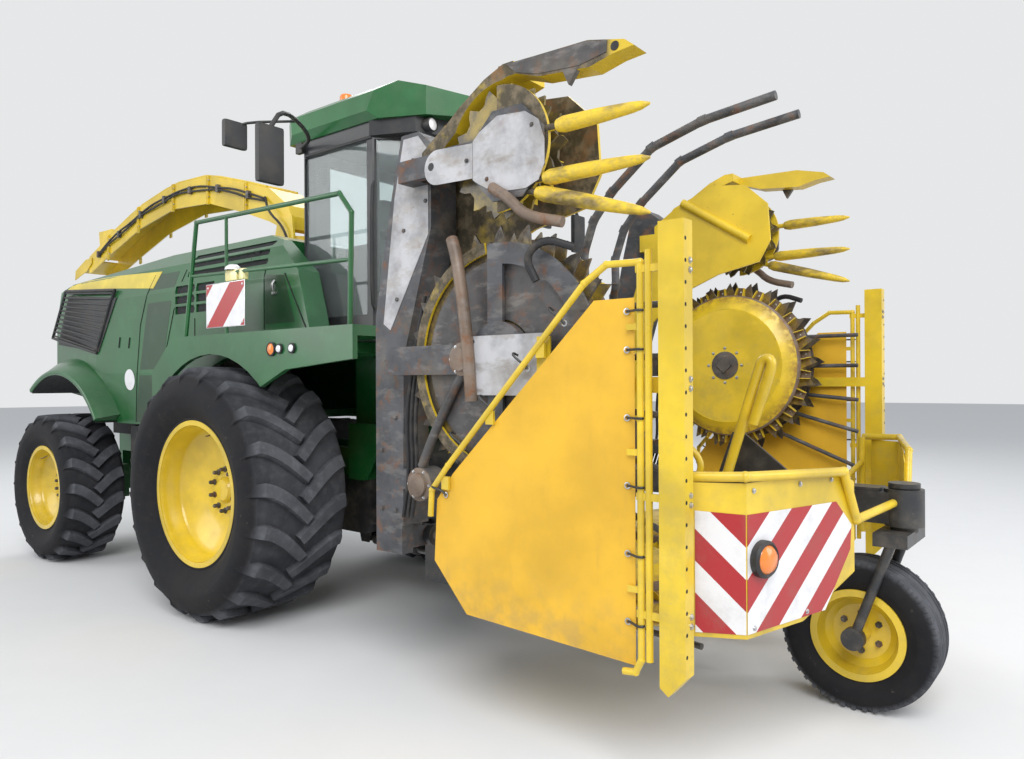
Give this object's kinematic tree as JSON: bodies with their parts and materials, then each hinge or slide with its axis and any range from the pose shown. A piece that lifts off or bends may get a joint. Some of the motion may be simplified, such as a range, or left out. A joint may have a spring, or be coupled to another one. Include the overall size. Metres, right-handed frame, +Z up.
{
  "type": "self-propelled forage harvester",
  "caption": "Forage harvester with a green body, a yellow discharge spout, a folded rotary maize header, cloth guards, striped boards and a caster under the header",
  "frame": {"origin": "on the ground under the middle of the whole machine's bounding box", "axes": "+X points forward, +Y to the machine's left and +Z up"},
  "size_m": [10.225, 3.69, 4.14],
  "materials": {
    "green_paint": "glossy machine paint, dusty",
    "yellow_paint": "glossy machine paint, scuffed",
    "black_paint": "satin black paint",
    "worn_steel": "worn, partly rusty steel",
    "tyre_rubber": "matt rubber with field dust",
    "black_plastic": "matt black plastic",
    "roof_plastic": "glossy green plastic",
    "clear_glass": "clear tinted glass",
    "lamp_plastic": "clear, amber and red lamp plastic",
    "cloth_orange": "coated cloth",
    "seat_cloth": "woven seat cover",
    "board_white": "white sheet with red stripes"
  },
  "bodies": {
    "chassis": {"chassis_frame": "green_paint", "axles": "green_paint", "engine_block": "worn_steel", "cutter_housing": "black_paint", "hood": "green_paint", "hood_grilles": "black_plastic", "fenders": "green_paint", "handrails": "green_paint", "ladder": "black_paint", "cab_shell": "black_paint", "cab_roof": "roof_plastic", "cab_glass": "clear_glass", "cab_controls": "black_plastic", "seat": "seat_cloth", "mirrors": "black_plastic", "lamps": "lamp_plastic", "side_boards": "board_white"},
    "door": {"door_frame": "black_paint", "door_glass": "clear_glass"},
    "spout_base": {"spout_elbow": "yellow_paint"},
    "spout": {"spout_tube": "yellow_paint"},
    "spout_end": {"spout_flap": "yellow_paint"},
    "cylinder_barrels": {"lift_barrels": "black_paint"},
    "cylinder_rods": {"lift_rods": "worn_steel"},
    "header": {"feed_cabinet": "black_paint", "header_frame": "black_paint", "caster_beam": "black_paint", "front_boards": "yellow_paint"},
    "caster_swivel": {"caster_fork": "black_paint"},
    "caster_wheel": {"caster_rim": "yellow_paint", "caster_tyre": "tyre_rubber"},
    "front_wheel_left": {"front_rim_left": "yellow_paint", "front_tyre_left": "tyre_rubber"},
    "steering_left": {"knuckle_left": "black_paint"},
    "rear_wheel_left": {"rear_rim_left": "yellow_paint", "rear_tyre_left": "tyre_rubber"},
    "mid_rotor_left": {"rotor_mid_left": "yellow_paint"},
    "wing_left": {"wing_frame_left": "black_paint", "wing_cover_left": "yellow_paint", "guard_frame_left": "yellow_paint", "guard_tarp_left": "cloth_orange"},
    "large_rotor_left": {"rotor_large_left": "yellow_paint"},
    "small_rotor_left": {"rotor_small_left": "yellow_paint"},
    "front_wheel_right": {"front_rim_right": "yellow_paint", "front_tyre_right": "tyre_rubber"},
    "steering_right": {"knuckle_right": "black_paint"},
    "rear_wheel_right": {"rear_rim_right": "yellow_paint", "rear_tyre_right": "tyre_rubber"},
    "mid_rotor_right": {"rotor_mid_right": "yellow_paint"},
    "wing_right": {"wing_frame_right": "black_paint", "wing_cover_right": "yellow_paint", "guard_frame_right": "yellow_paint", "guard_tarp_right": "cloth_orange"},
    "large_rotor_right": {"rotor_large_right": "yellow_paint"},
    "small_rotor_right": {"rotor_small_right": "yellow_paint"}
  },
  "joints": [
    {"name": "door_hinge", "type": "hinge", "parent": "chassis", "child": "door", "pos_m": [0.831, 0.926, 2.7], "axis": [0, 0, 1], "range_deg": [0, 75]},
    {"name": "spout_turn", "type": "hinge", "parent": "chassis", "child": "spout_base", "pos_m": [-0.453, 0, 3.085], "axis": [0, 0, 1], "range_deg": [-100, 100]},
    {"name": "spout_lift", "type": "hinge", "parent": "spout_base", "child": "spout", "pos_m": [-0.453, 0, 3.33], "axis": [0, 1, 0], "range_deg": [0, 30]},
    {"name": "spout_flap_tilt", "type": "hinge", "parent": "spout", "child": "spout_end", "pos_m": [-4.653, 0, 3.39], "axis": [0, -1, 0], "range_deg": [0, 45]},
    {"name": "header_lift", "type": "hinge", "parent": "chassis", "child": "header", "pos_m": [1.127, 0, 1.4], "axis": [0, -1, 0], "range_deg": [0, 7]},
    {"name": "lift_barrel_tilt", "type": "hinge", "parent": "chassis", "child": "cylinder_barrels", "pos_m": [0.747, 0, 0.48], "axis": [0, -1, 0], "range_deg": [-1, 5]},
    {"name": "lift_rod_slide", "type": "slide", "parent": "cylinder_barrels", "child": "cylinder_rods", "axis": [0.9989, 0, -0.0462], "range_m": [-0.01, 0.12]},
    {"name": "caster_swivel", "type": "hinge", "parent": "header", "child": "caster_swivel", "pos_m": [4.917, 0, 1.12], "axis": [0, 0, 1], "continuous": true},
    {"name": "caster_roll", "type": "hinge", "parent": "caster_swivel", "child": "caster_wheel", "pos_m": [4.702, 0, 0.41], "axis": [0, 1, 0], "continuous": true},
    {"name": "front_roll_left", "type": "hinge", "parent": "chassis", "child": "front_wheel_left", "pos_m": [0.327, 1.21, 0.968], "axis": [0, 1, 0], "continuous": true},
    {"name": "steer_left", "type": "hinge", "parent": "chassis", "child": "steering_left", "pos_m": [-2.793, 0.82, 0.747], "axis": [0, 0, 1], "range_deg": [-35, 35]},
    {"name": "rear_roll_left", "type": "hinge", "parent": "steering_left", "child": "rear_wheel_left", "pos_m": [-2.793, 1.21, 0.747], "axis": [0, 1, 0], "continuous": true},
    {"name": "mid_rotor_spin_left", "type": "hinge", "parent": "header", "child": "mid_rotor_left", "pos_m": [3.357, 0.75, 0.52], "axis": [0, 0, 1], "continuous": true},
    {"name": "wing_fold_left", "type": "hinge", "parent": "header", "child": "wing_left", "pos_m": [2.407, 1.185, 0.865], "axis": [-1, 0, 0], "range_deg": [0, 90]},
    {"name": "large_rotor_spin_left", "type": "hinge", "parent": "wing_left", "child": "large_rotor_left", "pos_m": [3.357, 1.53, 1.93], "axis": [0, 1, 0], "continuous": true},
    {"name": "small_rotor_spin_left", "type": "hinge", "parent": "wing_left", "child": "small_rotor_left", "pos_m": [3.357, 1.53, 3], "axis": [0, 1, 0], "continuous": true},
    {"name": "front_roll_right", "type": "hinge", "parent": "chassis", "child": "front_wheel_right", "pos_m": [0.327, -1.21, 0.968], "axis": [0, 1, 0], "continuous": true},
    {"name": "steer_right", "type": "hinge", "parent": "chassis", "child": "steering_right", "pos_m": [-2.793, -0.82, 0.747], "axis": [0, 0, 1], "range_deg": [-35, 35]},
    {"name": "rear_roll_right", "type": "hinge", "parent": "steering_right", "child": "rear_wheel_right", "pos_m": [-2.793, -1.21, 0.747], "axis": [0, 1, 0], "continuous": true},
    {"name": "mid_rotor_spin_right", "type": "hinge", "parent": "header", "child": "mid_rotor_right", "pos_m": [3.357, -0.75, 0.52], "axis": [0, 0, 1], "continuous": true},
    {"name": "wing_fold_right", "type": "hinge", "parent": "header", "child": "wing_right", "pos_m": [2.407, -1.185, 0.865], "axis": [1, 0, 0], "range_deg": [0, 90]},
    {"name": "large_rotor_spin_right", "type": "hinge", "parent": "wing_right", "child": "large_rotor_right", "pos_m": [3.357, -1.53, 1.93], "axis": [0, 1, 0], "continuous": true},
    {"name": "small_rotor_spin_right", "type": "hinge", "parent": "wing_right", "child": "small_rotor_right", "pos_m": [3.357, -1.53, 3], "axis": [0, 1, 0], "continuous": true}
  ],
  "couplings": [
    {"joint": "lift_barrel_tilt", "follows": "header_lift", "ratio": 0.6702},
    {"joint": "lift_rod_slide", "follows": "header_lift", "m_per_rad": 0.9217},
    {"joint": "steer_right", "follows": "steer_left", "ratio": 1}
  ]
}
